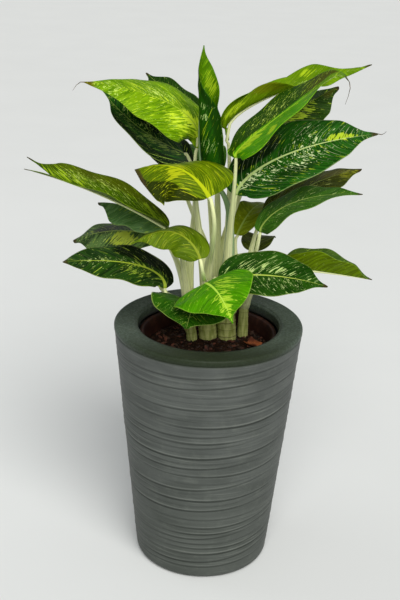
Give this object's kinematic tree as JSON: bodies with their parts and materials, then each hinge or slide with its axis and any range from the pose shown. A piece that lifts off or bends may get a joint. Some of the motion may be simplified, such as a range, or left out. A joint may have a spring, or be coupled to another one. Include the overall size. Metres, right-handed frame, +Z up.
{
  "type": "potted foliage plant",
  "caption": "Dumb cane houseplant with pale-flecked pointed leaves, growing in a plastic pot inside a tall, tapered floor planter with a ribbed wall and a wide rim.",
  "frame": {"origin": "centre of the planter's flat base, where it stands on the floor", "axes": "+Z up, -Y towards the viewer of the picture, +X to that viewer's right"},
  "size_m": [0.6233, 0.5107, 0.9861],
  "materials": {
    "planter": "matt dark grey with a slight green cast",
    "grower_pot": "matt dark red-brown",
    "soil": "dry dark brown coir chips",
    "stem": "smooth pale green",
    "leaf_lime": "satin lime green with yellow streaks",
    "leaf_olive": "satin olive green with yellow streaks",
    "leaf_green": "satin dark green with cream flecks"
  },
  "bodies": {
    "root": {"planter": "planter", "grower_pot": "grower_pot", "soil": "soil", "shoot_left": "stem", "shoot_centre_left": "stem", "shoot_centre": "stem", "shoot_right": "stem", "shoot_back": "stem", "leaf_crown_left": "leaf_lime", "leaf_young": "leaf_lime", "leaf_crown_right": "leaf_lime", "leaf_front_bright": "leaf_lime", "leaf_right_bright": "leaf_lime", "leaf_right_olive": "leaf_olive", "leaf_right_middle": "leaf_olive", "leaf_back_right": "leaf_olive", "leaf_front_high": "leaf_olive", "leaf_left_long": "leaf_olive", "leaf_front_olive": "leaf_olive", "leaf_right_lowest": "leaf_olive", "leaf_back_high_left": "leaf_green", "leaf_left_shaded": "leaf_green", "leaf_back_left": "leaf_green", "leaf_right_behind": "leaf_green", "leaf_right_large": "leaf_green", "leaf_back_low": "leaf_green", "leaf_left_slender": "leaf_green", "leaf_left_lower": "leaf_green", "leaf_left_lowest": "leaf_green", "leaf_right_low": "leaf_green", "leaf_front_lowest": "leaf_green", "leaf_hidden_right": "leaf_green", "leaf_hidden_left": "leaf_green", "leaf_hidden_back": "leaf_green", "leaf_hidden_low_right": "leaf_green"}
  },
  "joints": []
}
